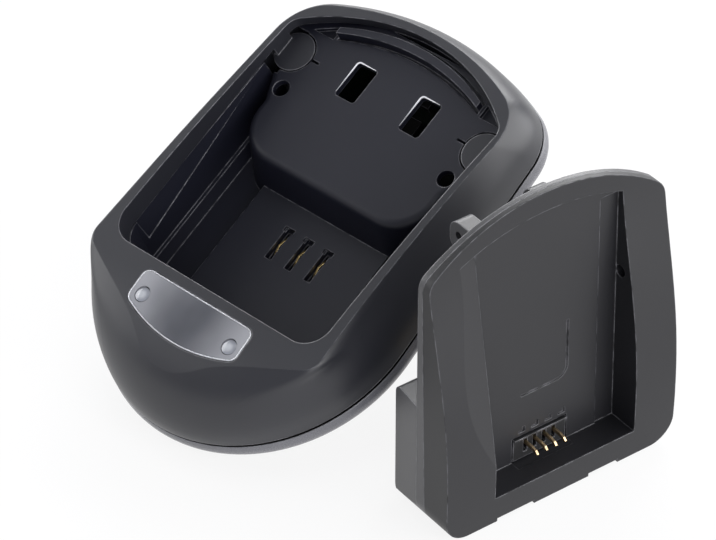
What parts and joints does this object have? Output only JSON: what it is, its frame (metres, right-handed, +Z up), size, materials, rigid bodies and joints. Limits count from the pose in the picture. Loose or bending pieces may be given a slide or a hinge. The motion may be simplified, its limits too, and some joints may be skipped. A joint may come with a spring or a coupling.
{
  "type": "camera battery charger",
  "caption": "Tilted battery charger with a rounded black case, deep adapter recess, status window and round plug head, and its lift-off adapter plate standing beside it.",
  "frame": {"origin": "centre of the bounding box's underside, on the table", "axes": "+X to the charger's right, +Y away from its window end, +Z up"},
  "size_m": [0.1158, 0.0964, 0.0721],
  "materials": {
    "shell": "satin black moulding",
    "inner": "fine matt black moulding",
    "window": "glossy smoked plastic",
    "bright": "bright plated rim",
    "lamp": "milky lamp lens",
    "gold": "gold plated spring",
    "steel": "plated steel",
    "rubber": "soft rubber",
    "board": "green laminate",
    "ferrite": "ferrite",
    "can": "sleeved capacitor can",
    "chip": "moulded chip case",
    "ribbon": "flat cable",
    "pin_metal": "nickel plated pin"
  },
  "bodies": {
    "base": {"top_cover": "shell", "bottom_tray": "shell", "cradle": "inner", "status_window": "window", "window_backing": "bright", "status_lamp": "lamp", "charge_lamp": "lamp", "contact_carrier": "inner", "lamp_ribbon": "ribbon", "case_screws": "steel", "rubber_feet": "rubber", "plug_contacts": "gold", "main_board": "board", "indicator_board": "board", "transformer": "ferrite", "input_capacitor": "can", "output_capacitors": "can", "control_chips": "chip"},
    "plug": {"plug_head": "shell", "plug_pins": "pin_metal", "pin_sleeves": "inner"},
    "well_blade_left": {"well_contact_left": "gold"},
    "well_blade_middle": {"well_contact_middle": "gold"},
    "well_blade_right": {"well_contact_right": "gold"},
    "adapter": {"adapter_frame": "shell", "adapter_back": "shell", "contact_holder": "inner", "adapter_board": "board", "pickup_pads": "gold", "adapter_screws": "steel"},
    "battery_blade_1": {"battery_contact_1": "gold"},
    "battery_blade_2": {"battery_contact_2": "gold"},
    "battery_blade_3": {"battery_contact_3": "gold"},
    "battery_blade_4": {"battery_contact_4": "gold"}
  },
  "joints": [
    {"name": "adapter_lift", "type": "slide", "parent": "base", "child": "adapter", "axis": [0, 0, 1], "range_m": [0, 0.06]},
    {"name": "plug_twist", "type": "hinge", "parent": "base", "child": "plug", "pos_m": [-0.01945, 0.02404, 0.03193], "axis": [0, -0.4909, 0.8712], "range_deg": [0, 45]},
    {"name": "well_contact_left_press", "type": "slide", "parent": "base", "child": "well_blade_left", "axis": [0, 0.4909, -0.8712], "range_m": [0, 0.001], "stiffness_N_per_m": 300, "springref_m": -0.0005},
    {"name": "well_contact_middle_press", "type": "slide", "parent": "base", "child": "well_blade_middle", "axis": [0, 0.4909, -0.8712], "range_m": [0, 0.001], "stiffness_N_per_m": 300, "springref_m": -0.0005},
    {"name": "well_contact_right_press", "type": "slide", "parent": "base", "child": "well_blade_right", "axis": [0, 0.4909, -0.8712], "range_m": [0, 0.001], "stiffness_N_per_m": 300, "springref_m": -0.0005},
    {"name": "battery_contact_1_press", "type": "slide", "parent": "adapter", "child": "battery_blade_1", "axis": [-0.9848, 0.1736, 0], "range_m": [0, 0.001], "stiffness_N_per_m": 300, "springref_m": -0.0005},
    {"name": "battery_contact_2_press", "type": "slide", "parent": "adapter", "child": "battery_blade_2", "axis": [-0.9848, 0.1736, 0], "range_m": [0, 0.001], "stiffness_N_per_m": 300, "springref_m": -0.0005},
    {"name": "battery_contact_3_press", "type": "slide", "parent": "adapter", "child": "battery_blade_3", "axis": [-0.9848, 0.1736, 0], "range_m": [0, 0.001], "stiffness_N_per_m": 300, "springref_m": -0.0005},
    {"name": "battery_contact_4_press", "type": "slide", "parent": "adapter", "child": "battery_blade_4", "axis": [-0.9848, 0.1736, 0], "range_m": [0, 0.001], "stiffness_N_per_m": 300, "springref_m": -0.0005}
  ]
}
